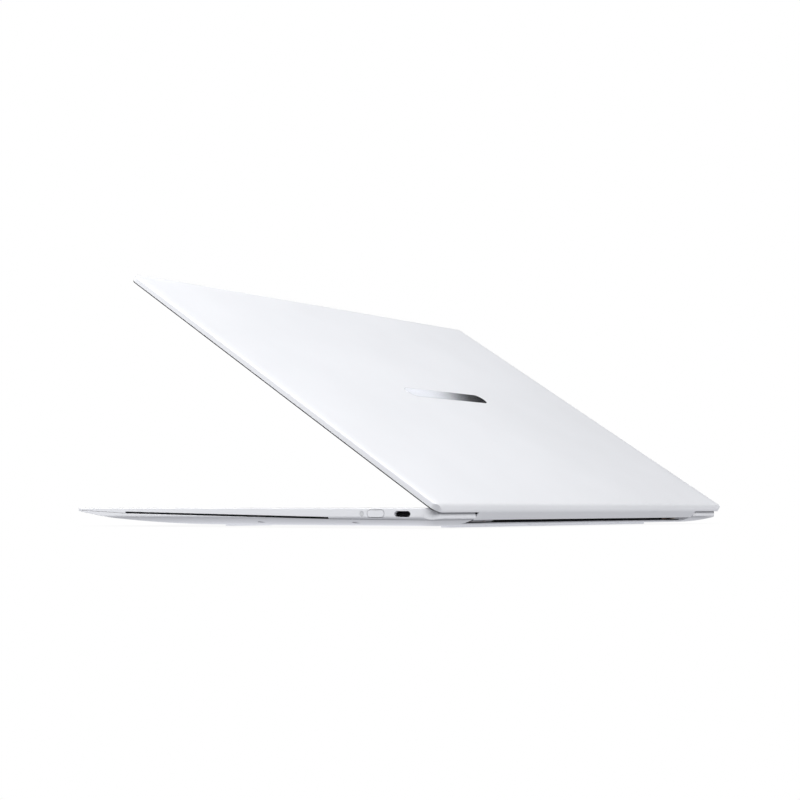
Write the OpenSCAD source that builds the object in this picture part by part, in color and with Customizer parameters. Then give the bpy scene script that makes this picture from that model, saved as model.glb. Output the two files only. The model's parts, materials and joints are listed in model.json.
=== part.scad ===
// Thin clamshell laptop computer, built as separate shells, boards, keys, hinges and screen.
// X runs to the user's right, Y to the hinge side and Z up. The origin is the middle of the
// base's footprint on the desk. Heights inside the modules are counted from the deck, which is
// the flat top of the base, and deck_frame() lifts them into place.

/* [Base] */
// Width of the base and the lid
base_w = 310; // [300:1:320]
// Depth of the base
base_d = 221; // [216:0.5:226]
// Thickness of the base without its feet
base_h = 8.2; // [8:0.1:9]
// Height of the rubber feet under the flat of the base
foot_h = 1; // [0.8:0.1:1.6]
// Corner radius of the base at its front
base_front_r = 4; // [3:0.5:6]
// Corner radius of the base at its rear
base_rear_r = 6.5; // [4:0.5:9]
// Wall of the bottom cover
floor_t = 0.7; // [0.6:0.05:0.8]
// Deck plate of the top case
deck_t = 1; // [0.8:0.1:1.1]
// Side walls of the top case
wall_t = 1.4; // [1.2:0.1:1.5]
// Thickness of the front edge
front_edge_h = 1.1; // [1:0.1:1.6]

/* [Lid] */
// Length of the lid from front edge to rear edge
lid_l = 220.2; // [216:0.1:220.6]
// Thickness of the lid at its middle
lid_t = 3.8; // [3.6:0.1:4.4]
// Drop of the lid's face from its flat to its edge
lid_drop = 0.4; // [0.2:0.1:0.6]
// Rounding of the lid's face at its front and sides
lid_edge_r = 1; // [0.8:0.1:1.4]
// Rounding of the lid's face at its rear
lid_rear_r = 2.8; // [2:0.1:3]
// Corner radius of the lid in plan
lid_r = 4.5; // [3:0.5:7]
// Opening angle of the lid as drawn
lid_open = 32.5; // [0:0.5:120]
// Gap between the closed screen and the deck
lid_gap = 0.3; // [0.25:0.05:0.5]

/* [Hinge] */
// Distance of the hinge axis in front of the base's rear face
hinge_back = 4; // [3.9:0.1:4.2]
// Depth of the hinge axis under the deck
hinge_down = 3.8; // [3.6:0.1:4]
// Width of the base's two rear corner blocks
corner_block_w = 35.2; // [30:0.1:40]
// Radius of the hinge pins
pin_r = 1.5; // [1.2:0.1:1.7]

/* [Keyboard] */
// Spacing of the keys across
key_pitch_x = 18.6; // [18:0.1:19]
// Spacing of the key rows
key_pitch_y = 18; // [17:0.1:18.5]
// Height of the function key row
function_row_h = 12.5; // [11:0.5:13]
// Web between two key openings
key_web = 2.6; // [2.2:0.1:3.5]
// Travel of a key
key_travel = 1.1; // [0.8:0.1:1.2]

/* [Side openings] */
// Width of a port opening
port_w = 8.6; // [8.4:0.1:9]
// Height of a port opening
port_h = 2.6; // [2.5:0.1:2.7]
// Length of the power button
button_w = 9.2; // [8:0.1:10]
// Height of the power button
button_h = 3.2; // [2.6:0.1:3.3]

/* [Badge] */
// Length of the plain badge on the lid
badge_w = 78; // [40:1:100]
// Height of the plain badge on the lid
badge_h = 9; // [3:0.5:12]

/* [Hidden] */

$fn = 48;
eps = 0.01;
half_w = base_w / 2;
rear_y = base_d / 2;
front_y = -rear_y;
deck_z = base_h + foot_h;

// The underside rises to every edge along a shallow arc: how wide it is and where it ends.
side_rise_w = 26;
side_edge_z = -4.8;
rear_rise_w = 16;
rear_edge_z = -4.6;
front_rise_w = 82;
side_corner_r = 1.5;
nose_solid = 9.5;

// Feet.
foot_d = 7;
rear_foot_w = 210;
rear_foot_y = 84;
front_foot_w = 34;
front_foot_at = [88, -50];

// Seam between the top case and the bottom cover, as heights along the side.
seam_gap = 0.15;
seam_front_y = -107.5;
slot_front_y = -75.1;
slot_rear_y = 52.7;
seam_front_z = -1.2;
slot_front_z = -2.7;
slot_rear_z = -5;
seam_rear_z = -5.35;
slot_h = 0.9;

// Hinge axis, and the radii that turn around it.
hinge_y = rear_y - hinge_back;
hinge_z = -hinge_down;
block_barrel_r = hinge_back;
hinge_barrel_r = 2.4;
centre_back = 2.05;
block_x = half_w - corner_block_w;
lip_x = block_x - 0.4;
notch_x = 98;
notch_y = hinge_y - 5.5;
bay_y = hinge_y - 4.1;
vent_floor_t = 0.5;
lid_plane = lid_gap;
lid_rear_y = hinge_y + 3.8;
lid_front_y = lid_rear_y - lid_l;
lid_shell_z = lid_plane + 0.5;
lid_top_z = lid_plane + lid_t;
lid_crown_w = 5;
lid_wall = 1.6;
lid_skin = 0.7;
lip_t = 0.56;
lip_tip = [hinge_y + 2.86, hinge_z + 0.2];
screen_rear_y = lid_rear_y - 0.75;
badge_y = -3.6;
badge_sink = 0.3;
bezel_part_y = [-108.2, -106.2];

// Hinge pieces, as spans along the axis on the right side.
barrel_x = [100.5, 108];
arm_x = [108.8, 118];
pin_x = [99.2, 118.4];
pin_head_x = [99.2, 99.8];
washer_x = [99.9, 108.1];
washer_t = 0.5;
pin_play = 0.05;
hinge_screw_places = [[104, 90], [94, 90], [94, 97]];

// Interior layers, from the deck down.
key_top_z = -0.25;
key_t = 1.2;
key_gap = 0.3;
plate_t = 0.3;
plate_z = key_top_z - key_t - key_travel - 0.2;
board_z = -3.45;
board_t = 0.6;
chip_z = board_z - board_t - 0.05;
card_z = -4.95;
cold_plate_z = -5.05;
pipe_z = -5.85;
pipe_t = 0.9;
floor_z = -base_h + floor_t;

// Keyboard field.
key_units = 15;
keys_top_y = 83.5;
keys_half_w = key_units * key_pitch_x / 2;
number_row_y = keys_top_y - function_row_h;
number_widths = [for (i = [0:13]) i < 13 ? 1 : 2];
upper_widths = [for (i = [0:13]) i == 0 || i == 13 ? 1.5 : 1];
home_widths = [for (i = [0:12]) i == 0 ? 1.75 : i == 12 ? 2.25 : 1];
lower_widths = [for (i = [0:11]) i == 0 ? 2.25 : i == 11 ? 2.75 : 1];
bottom_widths = [1.25, 1, 1, 1.25, 5.5, 1, 1, 1, 1, 1];
function_widths = [for (i = [0:13]) i == 0 ? 1.35 : 1.05];
space_index = 4;
first_arrow = 7;

// Touchpad.
pad_w = 125;
pad_y = [-95, -27];
pad_t = 0.8;
pad_drop = 0.05;

// Ports, button and light on the sides.
port_y = 94;
port_z = -2.65;
left_port_y = [94, 78.5];
button_y = 79.5;
button_z = -2.5;
button_gap = 0.22;
led_y = 71.8;
led_z = -2.6;
led_r = 1.1;

// Cooling.
fan_x = 98;
fan_y = 61;
fan_half = 30;
fan_z = [-7, -3.5];
fan_wall = 0.5;
fan_hub_r = 9;
inlet_r = 19;
scroll_r = 27.5;
spindle_r = 1;
blade_count = 29;
blade_lean = 28;
fin_x = [70, 126];
fin_y = [92, 100];

// Battery and speakers.
cells_x = 109;
frame_z = [-4.8, -3.8];
front_cells_y = [-76, -24];
rear_cells_y = [-18, 0];
speaker_x = [116, 146];
speaker_y = [-58, 2];
cone_at = [131, -32];

// Fasteners.
right_screws = [[146, 62], [146, 6], [112, -84], [48, 97]];
screw_places = [for (side = [-1, 1], p = right_screws) [side * p[0], p[1]]];
screw_r = 0.7;
screw_head_r = 1.7;
boss_r = 2;

white = [0.95, 0.95, 0.96];
silver = [0.78, 0.79, 0.81];
copper = [0.72, 0.45, 0.3];
board_green = [0.08, 0.2, 0.14];
black = [0.06, 0.06, 0.07];

// ---------- helpers ----------

function arc_radius(width, rise) = (width * width + rise * rise) / (2 * rise);
function arc(centre, r, from, to, steps) =
    [for (i = [0:steps]) let (a = from + (to - from) * i / steps) centre + r * [cos(a), sin(a)]];
function start_of(widths, i) = i == 0 ? 0 : widths[i - 1] + start_of(widths, i - 1);

module deck_frame() {
    translate([0, 0, deck_z]) children();
}

// Children are drawn with the lid shut and turned open about the hinge axis.
module lid_frame() {
    deck_frame()
        translate([0, hinge_y, hinge_z])
        rotate([-lid_open, 0, 0])
        translate([0, -hinge_y, -hinge_z])
        children();
}

module box(low, high) {
    translate(low) cube(high - low);
}

module both_sides() {
    children();
    mirror([1, 0, 0]) children();
}

// A profile in Y and Z, drawn out along X.
module along_x(from, to) {
    translate([from, 0, 0]) rotate([90, 0, 90]) linear_extrude(to - from) children();
}

// A profile in X and Z, drawn out along Y.
module along_y(from, to) {
    translate([0, to, 0]) rotate([90, 0, 0]) linear_extrude(to - from) children();
}

module rounded_rect(size, r) {
    square([size[0] - 2 * r, size[1]], center = true);
    square([size[0], size[1] - 2 * r], center = true);
    for (x = [-1, 1], y = [-1, 1])
        translate([x * (size[0] / 2 - r), y * (size[1] / 2 - r)]) circle(r);
}

// A stadium lying along Y, drawn out along X.
module side_slot(y, z, w, h, from, to) {
    translate([0, y, z]) along_x(from, to) {
        square([w - h, h], center = true);
        for (s = [-1, 1]) translate([s * (w - h) / 2, 0]) circle(h / 2);
    }
}

module turned(x0, x1, r) {
    translate([x0, hinge_y, hinge_z]) rotate([0, 90, 0]) cylinder(x1 - x0, r, r);
}

// ---------- base shells ----------

// Half of the section across the base: flat floor, shallow arc, small corner and upright side.
function side_section(inset) =
    let (
        big_r = arc_radius(side_rise_w, base_h + side_edge_z),
        big = [half_w - side_rise_w, big_r - base_h],
        reach = big_r - side_corner_r,
        across = side_rise_w - side_corner_r,
        small = [half_w - side_corner_r, big[1] - sqrt(reach * reach - across * across)],
        turn = -acos(across / reach)
    )
    concat(
        arc(big, big_r - inset, -90, turn, 12),
        arc(small, max(side_corner_r - inset, 0.05), turn, 0, 6)
    );

module across_profile(inset, top) {
    edge = side_section(inset);
    ease = inset == 0 ? 0.35 : 0;
    right = concat(edge, [[half_w - inset, top - ease], [half_w - inset - ease, top]]);
    mirrored = [for (i = [len(right) - 1:-1:0]) [-right[i][0], right[i][1]]];
    polygon(concat(right, mirrored));
}

// Section along the base: thin round nose, long rise under the front and barrel at the rear.
module along_profile(inset, top) {
    front_r = arc_radius(front_rise_w, base_h - front_edge_h);
    rear_r = arc_radius(rear_rise_w, base_h + rear_edge_z);
    nose_r = front_edge_h / 2;
    front_turn = asin((front_rise_w - nose_r) / front_r);
    rear_turn = asin((rear_rise_w - 0.3) / rear_r);
    barrel_low = -12;
    barrel_high = asin(hinge_down / block_barrel_r);
    polygon(concat(
        arc([front_y + nose_r, -nose_r], nose_r, 90, 250, 8),
        arc([front_y + front_rise_w, front_r - base_h], front_r - inset, 270 - front_turn, 270, 20),
        arc([rear_y - rear_rise_w, rear_r - base_h], rear_r - inset, 270, 270 + rear_turn, 12),
        arc([hinge_y, hinge_z], block_barrel_r, barrel_low, barrel_high, 16)
    ));
}

// Plan of the base, drawn longer at the front where its corners are not wanted.
module corner_prism(longer, r) {
    translate([0, -longer / 2, -base_h - 1]) linear_extrude(base_h + 2)
        rounded_rect([base_w, base_d + longer], r);
}

module base_block() {
    intersection() {
        corner_prism(0, base_front_r);
        corner_prism(2 * base_rear_r, base_rear_r);
        along_y(front_y - 1, rear_y + 1) across_profile(0, 0);
        along_x(-half_w - 1, half_w + 1) along_profile(0, 0);
    }
}

// The hollow of the base, from the underside of the deck to the inside of the floor.
module base_hollow() {
    front_r = arc_radius(front_rise_w, base_h - front_edge_h);
    rear_r = arc_radius(rear_rise_w, base_h + rear_edge_z);
    front_turn = asin((front_rise_w - nose_solid) / front_r);
    rear_turn = asin((rear_rise_w - rear_y + notch_y) / rear_r);
    low_front = [front_y + front_rise_w, front_r - base_h];
    low_rear = [rear_y - rear_rise_w, rear_r - base_h];
    intersection() {
        along_y(front_y, rear_y) across_profile(floor_t, -deck_t);
        along_x(-half_w, half_w) polygon(concat(
            arc(low_front, front_r - floor_t, 270 - front_turn, 270, 20),
            arc(low_rear, rear_r - floor_t, 270, 270 + rear_turn, 8),
            [[notch_y, -deck_t], [front_y + nose_solid, -deck_t]]
        ));
        box([wall_t - half_w, front_y, floor_z], [half_w - wall_t, rear_y, 0]);
    }
}

// Everything under the seam; grow widens it by the seam's gap.
module below_seam(grow) {
    along_x(-half_w - 2, half_w + 2) polygon([
        [seam_front_y - grow, -base_h - 2],
        [seam_front_y - grow, seam_front_z + grow],
        [slot_front_y, slot_front_z + grow],
        [slot_rear_y, slot_rear_z + grow],
        [rear_y + 2, seam_rear_z + grow],
        [rear_y + 2, -base_h - 2]
    ]);
}

module side_slot_opening(x0, x1, drop) {
    along_x(x0, x1) polygon([
        [slot_front_y + drop, slot_front_z + seam_gap + drop],
        [slot_rear_y - drop, slot_rear_z + seam_gap + drop],
        [slot_rear_y - drop, slot_rear_z + slot_h - drop],
        [slot_front_y + drop, slot_front_z + slot_h - drop]
    ]);
}

module key_field(widths, top_y, row_h, indexes, grow) {
    for (i = indexes) {
        x0 = -keys_half_w + start_of(widths, i) * key_pitch_x;
        w = widths[i] * key_pitch_x - key_web;
        translate([x0 + (w + key_web) / 2, top_y - row_h / 2])
            rounded_rect([w + 2 * grow, row_h - key_web + 2 * grow], 1.2 + grow);
    }
}

function row_top(n) = number_row_y - (n - 1) * key_pitch_y;

// Two half-height arrow keys share one place.
module up_down_keys(grow) {
    for (half = [0, 1])
        translate([-keys_half_w + start_of(bottom_widths, 8) * key_pitch_x + key_pitch_x / 2,
            row_top(5) - (0.25 + half / 2) * key_pitch_y])
            rounded_rect([key_pitch_x - key_web + 2 * grow, key_pitch_y / 2 - 1.3 + 2 * grow], 1 + grow);
}

module key_openings() {
    key_field(function_widths, keys_top_y, function_row_h, [0:13], key_gap);
    key_field(number_widths, row_top(1), key_pitch_y, [0:13], key_gap);
    key_field(upper_widths, row_top(2), key_pitch_y, [0:13], key_gap);
    key_field(home_widths, row_top(3), key_pitch_y, [0:12], key_gap);
    key_field(lower_widths, row_top(4), key_pitch_y, [0:11], key_gap);
    key_field(bottom_widths, row_top(5), key_pitch_y, [0, 1, 2, 3, 4, 5, 6, 7, 9], key_gap);
    up_down_keys(key_gap);
}

module pad_outline(grow) {
    translate([0, (pad_y[0] + pad_y[1]) / 2])
        rounded_rect([pad_w + 2 * grow, pad_y[1] - pad_y[0] + 2 * grow], 4 + grow);
}

// Space behind the rear edge of the deck where the lid's lip and the hinges turn.
module hinge_space() {
    both_sides() box([notch_x, notch_y - 0.3, -base_h - 1], [block_x, rear_y + 1, 1]);
    box([-block_x, bay_y, -base_h - 1], [block_x, rear_y + 1, seam_rear_z + seam_gap]);
    box([-block_x, hinge_y + centre_back, -base_h - 1], [block_x, rear_y + 1, 1]);
    box([-notch_x + 2, notch_y + 1, seam_rear_z - 1], [notch_x - 2, hinge_y + centre_back - 1.2, -1.3]);
}

module top_case() {
    color(white) deck_frame() difference() {
        base_block();
        base_hollow();
        below_seam(seam_gap);
        hinge_space();
        translate([0, 0, -deck_t - 1]) linear_extrude(deck_t + 2) key_openings();
        translate([0, 0, -deck_t - 1]) linear_extrude(deck_t + 2) pad_outline(0.25);
        both_sides() side_slot_opening(half_w - wall_t - 1, half_w + 1, 0);
        side_slot(port_y, port_z, port_w, port_h, half_w - wall_t - 1, half_w + 1);
        side_slot(button_y, button_z, button_w + 2 * button_gap, button_h + 2 * button_gap,
            half_w - wall_t - 1, half_w + 1);
        box([half_w - 5, button_y - 6, -deck_t - 0.1], [half_w - wall_t + 0.1, button_y + 6, -0.45]);
        translate([half_w - wall_t - 1, led_y, led_z])
            rotate([0, 90, 0]) cylinder(wall_t + 2, led_r + 0.05, led_r + 0.05);
        for (y = left_port_y) side_slot(y, port_z, port_w, port_h, -half_w - 1, -half_w + wall_t + 1);
    }
    color(white) deck_frame() for (p = screw_places) screw_boss(p);
}

// A boss hangs from the deck and takes one cover screw.
module screw_boss(place) {
    low = boss_floor(place);
    difference() {
        translate([place[0], place[1], low]) cylinder(-deck_t + eps - low, boss_r, boss_r);
        translate([place[0], place[1], low - 1]) cylinder(2.2, screw_r, screw_r);
    }
}

// Height of the inside of the floor under a place.
function front_floor(y) =
    let (r = arc_radius(front_rise_w, base_h - front_edge_h), d = max(front_y + front_rise_w - y, 0))
    r - base_h - sqrt(r * r - d * d);
function rear_floor(y) =
    let (r = arc_radius(rear_rise_w, base_h + rear_edge_z), d = max(y - rear_y + rear_rise_w, 0))
    r - base_h - sqrt(r * r - d * d);
function side_floor(x) =
    let (r = arc_radius(side_rise_w, base_h + side_edge_z), d = max(abs(x) - half_w + side_rise_w, 0))
    r - base_h - sqrt(r * r - d * d);
function skin_z(place) = max(front_floor(place[1]), rear_floor(place[1]), side_floor(place[0]));
function boss_floor(place) = skin_z(place) + floor_t + 0.9;

module intake_slots() {
    for (side = [-1, 1], i = [-5:5])
        translate([side * fan_x, fan_y + i * 3.4, -base_h - 1]) linear_extrude(3)
            rounded_rect([2 * sqrt(24 * 24 - 11.6 * i * i), 1.5], 0.7);
}

module bottom_cover() {
    color(white) deck_frame() difference() {
        intersection() {
            base_block();
            below_seam(0);
        }
        base_hollow();
        box([-block_x, bay_y, -base_h - 1], [block_x, rear_y + 1, 0]);
        vent_channel();
        intake_slots();
        for (p = screw_places) screw_hole(p);
    }
}

// The way out for warm air, over the thin rear edge of the floor.
module vent_channel() {
    r = arc_radius(rear_rise_w, base_h + rear_edge_z);
    centre = [rear_y - rear_rise_w, r - base_h];
    start = asin((notch_y - 1 - centre[0]) / r);
    end = asin((bay_y + 1 - centre[0]) / r);
    along_x(-block_x + wall_t, block_x - wall_t) polygon(concat(
        arc(centre, r - vent_floor_t, 270 + start, 270 + end, 5),
        [[bay_y + 1, 0], [notch_y - 1, 0]]
    ));
}

module screw_hole(place) {
    z = skin_z(place);
    translate([place[0], place[1], z - 2]) cylinder(5, screw_r + 0.1, screw_r + 0.1);
    translate([place[0], place[1], z - 2]) cylinder(2.35, screw_head_r + 0.15, screw_head_r + 0.15);
}

// Flat-headed screw with its head down and a recess of five corners.
module cover_screw() {
    difference() {
        union() {
            cylinder(0.3, screw_head_r, screw_head_r);
            cylinder(2.5, screw_r - 0.02, screw_r - 0.02);
        }
        translate([0, 0, -1]) cylinder(1.2, 0.55, 0.55, $fn = 5);
    }
}

module bottom_screws() {
    color(silver) deck_frame()
        for (p = screw_places) translate([p[0], p[1], skin_z(p) + 0.05]) cover_screw();
}

// One long foot at the rear and a short one under each front corner.
module rubber_feet() {
    color(silver) deck_frame() difference() {
        translate([0, 0, -deck_z]) linear_extrude(3) {
            translate([0, rear_foot_y]) rounded_rect([rear_foot_w, foot_d], foot_d / 2 - 0.1);
            both_sides() translate(front_foot_at) rounded_rect([front_foot_w, foot_d], foot_d / 2 - 0.1);
        }
        base_block();
    }
}

// Black louvre behind the rear slot.
module vent_grille() {
    rib_count = 100;
    grille_x = 96;
    z0 = skin_z([0, bay_y]) + vent_floor_t + 0.1;
    color(black) deck_frame() {
        box([-grille_x - 22, notch_y + 0.2, z0], [grille_x + 22, bay_y - 0.2, z0 + 0.35]);
        box([-grille_x, notch_y + 0.2, seam_rear_z - 0.25], [grille_x, bay_y - 0.2, seam_rear_z + 0.1]);
        for (i = [0:rib_count])
            translate([0.2 - grille_x + i * (2 * grille_x - 1) / rib_count, 0, 0])
                box([0, notch_y + 0.3, z0 + eps], [0.6, bay_y - 0.4, seam_rear_z]);
    }
}

module side_grilles() {
    color(black) deck_frame() both_sides() side_slot_opening(half_w - 1.3, half_w - 0.7, 0.05);
}

module status_led() {
    color("white") deck_frame() translate([half_w - wall_t, led_y, led_z]) rotate([0, 90, 0]) {
        cylinder(wall_t - 0.05, led_r, led_r);
        translate([0, 0, -0.6]) cylinder(0.55, led_r + 0.5, led_r + 0.5);
        translate([0, 0, -0.1]) cylinder(0.2, led_r, led_r);
    }
}

// ---------- controls and ports ----------

module power_button() {
    color(white) deck_frame() {
        side_slot(button_y, button_z, button_w, button_h, half_w - 2.4, half_w + 0.05);
        side_slot(button_y, button_z, button_w + 1.2, button_h + 0.5, half_w - 2.4, half_w - wall_t - 0.25);
        translate([half_w - 4, button_y, button_z]) rotate([0, 90, 0]) cylinder(2, 0.8, 0.8);
    }
}

module power_switch() {
    color(black) deck_frame() difference() {
        box([half_w - 9, button_y - 3, -4.3], [half_w - 4.4, button_y + 3, -deck_t - 0.15]);
        box([half_w - 9.5, button_y - 2, -4.4], [half_w - 8.5, button_y + 2, -3.9]);
    }
}

module port_shell(side, y) {
    x0 = side > 0 ? half_w - 9.5 : -half_w + wall_t + 0.1;
    x1 = side > 0 ? half_w - wall_t - 0.1 : -half_w + 9.5;
    closed = side > 0 ? 0.4 : -0.4;
    difference() {
        side_slot(y, port_z, port_w + 0.5, port_h + 0.6, x0, x1);
        side_slot(y, port_z, port_w - 0.2, port_h, x0 + closed, x1 + closed);
    }
}

module usb_port_shells() {
    color(silver) deck_frame() {
        port_shell(1, port_y);
        for (y = left_port_y) port_shell(-1, y);
    }
}

module port_tongue(side, y) {
    x = side * (half_w - 5.6);
    translate([x, y, port_z]) cube([6.8, 6.7, 0.7], center = true);
}

module usb_port_tongues() {
    color(black) deck_frame() {
        port_tongue(1, port_y);
        for (y = left_port_y) port_tongue(-1, y);
    }
}

module io_boards() {
    color(board_green) deck_frame() both_sides() box([134, 67, card_z], [half_w - 4.5, 99.5, -4.4]);
}

module touchpad_glass() {
    color(white) deck_frame() translate([0, 0, -pad_drop - pad_t]) linear_extrude(pad_t) pad_outline(0);
}

// Board and vibration motors under the touchpad.
module touchpad_module() {
    color(board_green) deck_frame() {
        box([-60, pad_y[0] + 4, -1.55], [60, pad_y[1] - 2, -pad_drop - pad_t - 0.05]);
        for (x = [-38, 38], y = [-76, -42]) box([x - 7, y - 5, -2.3], [x + 7, y + 5, -1.5]);
    }
}

// ---------- keyboard ----------

module keyboard_plate() {
    color(silver) deck_frame() difference() {
        box([-142.5, -20, plate_z - plate_t], [142.5, 85, plate_z]);
        for (p = screw_places) translate([p[0], p[1], plate_z - 1]) cylinder(2, boss_r + 0.3, boss_r + 0.3);
    }
}

module keyboard_backlight() {
    color("white") deck_frame() difference() {
        box([-141, -18.5, plate_z - plate_t - 0.25], [141, 83.5, plate_z - plate_t - 0.05]);
        for (p = screw_places) translate([p[0], p[1], plate_z - 1]) cylinder(2, boss_r + 0.3, boss_r + 0.3);
    }
}

module keycaps(widths, top_y, row_h, indexes) {
    color(white) deck_frame() translate([0, 0, key_top_z - key_t]) linear_extrude(key_t)
        key_field(widths, top_y, row_h, indexes, 0);
}

module function_keys() {
    keycaps(function_widths, keys_top_y, function_row_h, [0:13]);
}

module number_keys() {
    keycaps(number_widths, row_top(1), key_pitch_y, [0:12]);
}

module backspace_key() {
    keycaps(number_widths, row_top(1), key_pitch_y, [13]);
}

module upper_letter_keys() {
    keycaps(upper_widths, row_top(2), key_pitch_y, [0:13]);
}

module home_letter_keys() {
    keycaps(home_widths, row_top(3), key_pitch_y, [0:11]);
}

module enter_key() {
    keycaps(home_widths, row_top(3), key_pitch_y, [12]);
}

module lower_letter_keys() {
    keycaps(lower_widths, row_top(4), key_pitch_y, [0:11]);
}

module modifier_keys() {
    keycaps(bottom_widths, row_top(5), key_pitch_y, [0, 1, 2, 3, 5, 6]);
}

module space_bar() {
    keycaps(bottom_widths, row_top(5), key_pitch_y, [space_index]);
}

module arrow_keys() {
    keycaps(bottom_widths, row_top(5), key_pitch_y, [first_arrow, first_arrow + 2]);
    color(white) deck_frame() translate([0, 0, key_top_z - key_t]) linear_extrude(key_t) up_down_keys(0);
}

// ---------- electronics and cooling ----------

module mainboard() {
    color(board_green) deck_frame() difference() {
        union() {
            box([-64, 30, board_z - board_t], [64, 89, board_z]);
            box([-126, 10, board_z - board_t], [126, 30 + eps, board_z]);
            box([-60, 3, board_z - board_t], [60, 10 + eps, board_z]);
        }
        for (p = screw_places) translate([p[0], p[1], board_z - 2]) cylinder(3, boss_r + 0.3, boss_r + 0.3);
    }
}

module processor() {
    color(black) deck_frame() box([-22, 48, cold_plate_z + 0.05], [22, 70, chip_z]);
}

module memory_chips() {
    color(black) deck_frame()
        for (x = [-38, 38], y = [50, 66]) box([x - 6, y - 5, card_z], [x + 6, y + 5, chip_z]);
}

module cold_plate() {
    color(copper) deck_frame() box([-26, 45, pipe_z + 0.05], [26, 73, cold_plate_z]);
}

// Flattened pipes run from the cold plate out under both fin stacks.
module heat_pipes() {
    color(copper) deck_frame() both_sides() translate([0, 0, pipe_z - pipe_t]) linear_extrude(pipe_t) {
        polygon([[4, 62], [4, 56], [20, 56], [64, 91.4], [64, 94], [57, 94]]);
        translate([57, 91.3]) square([68, 6]);
    }
}

module fin_stacks() {
    fin_count = 28;
    color(silver) deck_frame() both_sides() {
        box([fin_x[0], fin_y[0] - 0.1, pipe_z + 0.05], [fin_x[1], fin_y[1], pipe_z + 0.3]);
        box([fin_x[0], fin_y[0] - 0.1, -3.75], [fin_x[1], fin_y[1], -3.5]);
        for (i = [0:fin_count])
            translate([fin_x[0] + i * (fin_x[1] - fin_x[0] - 0.3) / fin_count, 0, 0])
                box([0, fin_y[0], pipe_z + 0.25], [0.3, fin_y[1] - 0.1, -3.7]);
    }
}

// Ring opening in the floor of a fan, with four spokes across it.
module fan_inlet() {
    translate([0, 0, fan_z[0] - 1]) difference() {
        cylinder(2, inlet_r, inlet_r);
        translate([0, 0, -1]) cylinder(4, fan_hub_r, fan_hub_r);
        for (turn = [0, 90]) rotate(turn) box([-1.5, -inlet_r - 1, -1], [1.5, inlet_r + 1, 4]);
    }
}

module fan_housing(side) {
    centre = [side * fan_x, fan_y, 0];
    color(black) deck_frame() translate(centre) {
        difference() {
            box([-fan_half, -fan_half, fan_z[0]], [fan_half, fan_half, fan_z[1]]);
            translate([0, 0, fan_z[0] + fan_wall])
                cylinder(fan_z[1] - fan_z[0] - 2 * fan_wall, scroll_r, scroll_r);
            box([-scroll_r, 0, fan_z[0] + fan_wall], [scroll_r, fan_half + 1, fan_z[1] - fan_wall]);
            fan_inlet();
        }
        translate([0, 0, fan_z[0] + fan_wall - eps]) cylinder(2.2, spindle_r, spindle_r);
    }
}

module fan_housing_left() {
    fan_housing(-1);
}

module fan_housing_right() {
    fan_housing(1);
}

// Impeller with thin backward-leaning blades round a capped hub.
module fan_rotor(side) {
    low = fan_z[0] + fan_wall + 0.2;
    color("dimgray") deck_frame() translate([side * fan_x, fan_y, low]) difference() {
        union() {
            cylinder(2, fan_hub_r, fan_hub_r);
            for (i = [0:blade_count - 1])
                rotate(i * 360 / blade_count) translate([fan_hub_r - 0.5, 0, 0.1])
                    rotate(-side * blade_lean) translate([0, -0.25, 0]) cube([17, 0.5, 1.8]);
        }
        translate([0, 0, -1]) cylinder(4, spindle_r + 0.06, spindle_r + 0.06);
    }
}

module fan_rotor_left() {
    fan_rotor(-1);
}

module fan_rotor_right() {
    fan_rotor(1);
}

module ssd_module() {
    color(board_green) deck_frame() {
        box([-54, 14, card_z], [26, 36, chip_z]);
        for (x = [-46, -22, 4]) box([x, 18, card_z - 1.25], [x + 16, 32, card_z + eps]);
    }
}

module wifi_module() {
    color(board_green) deck_frame() {
        box([32, 14, card_z], [54, 44, chip_z]);
        box([34, 18, card_z - 1.05], [52, 36, card_z + eps]);
    }
}

// Flat cables from the mainboard to both side boards.
module ribbon_cables() {
    color(black) deck_frame() both_sides() {
        box([131.5, 18, -4.35], [137.5, 66, -4.2]);
        box([126.5, 18, -4.35], [131.5 + eps, 24, -4.2]);
    }
}

// Flat cells under the palm rest and thicker ones behind them.
module battery_cells() {
    color(black) deck_frame() {
        box([-60, front_cells_y[0], -4.7], [60, front_cells_y[1], -2.5]);
        both_sides() {
            box([64, front_cells_y[0], -4.7], [cells_x, front_cells_y[1], -1.3]);
            box([4, rear_cells_y[0], -7.2], [58, rear_cells_y[1], -3.6]);
            box([62, rear_cells_y[0], -7.2], [cells_x, rear_cells_y[1], -3.6]);
        }
    }
}

// Thin frame that holds the cells together round their outside.
module battery_frame() {
    color("dimgray") deck_frame() difference() {
        box([-cells_x - 2, front_cells_y[0] - 2, frame_z[0]],
            [cells_x + 2, rear_cells_y[1] + 1.5, frame_z[1]]);
        for (y = [front_cells_y, rear_cells_y])
            box([-cells_x - 0.3, y[0] - 0.3, -6], [cells_x + 0.3, y[1] + 0.3, -3]);
    }
}

module battery_board() {
    color(board_green) deck_frame()
        box([-50, front_cells_y[1] + 1.2, -3.7], [50, rear_cells_y[0] - 1.2, -3.2]);
}

// Closed box with its cone facing down.
module speaker_right() {
    color(black) deck_frame() {
        difference() {
            box([speaker_x[0], speaker_y[0], -5.9], [speaker_x[1], speaker_y[1], -3.4]);
            translate([cone_at[0], cone_at[1], -6.5]) cylinder(1.2, 10, 10);
            for (p = right_screws) translate([p[0], p[1], -7]) cylinder(5, boss_r + 0.3, boss_r + 0.3);
        }
        translate([cone_at[0], cone_at[1], -5.6]) cylinder(0.5, 8.5, 8.5);
    }
}

module speaker_left() {
    mirror([1, 0, 0]) speaker_right();
}

// ---------- hinges ----------

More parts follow.
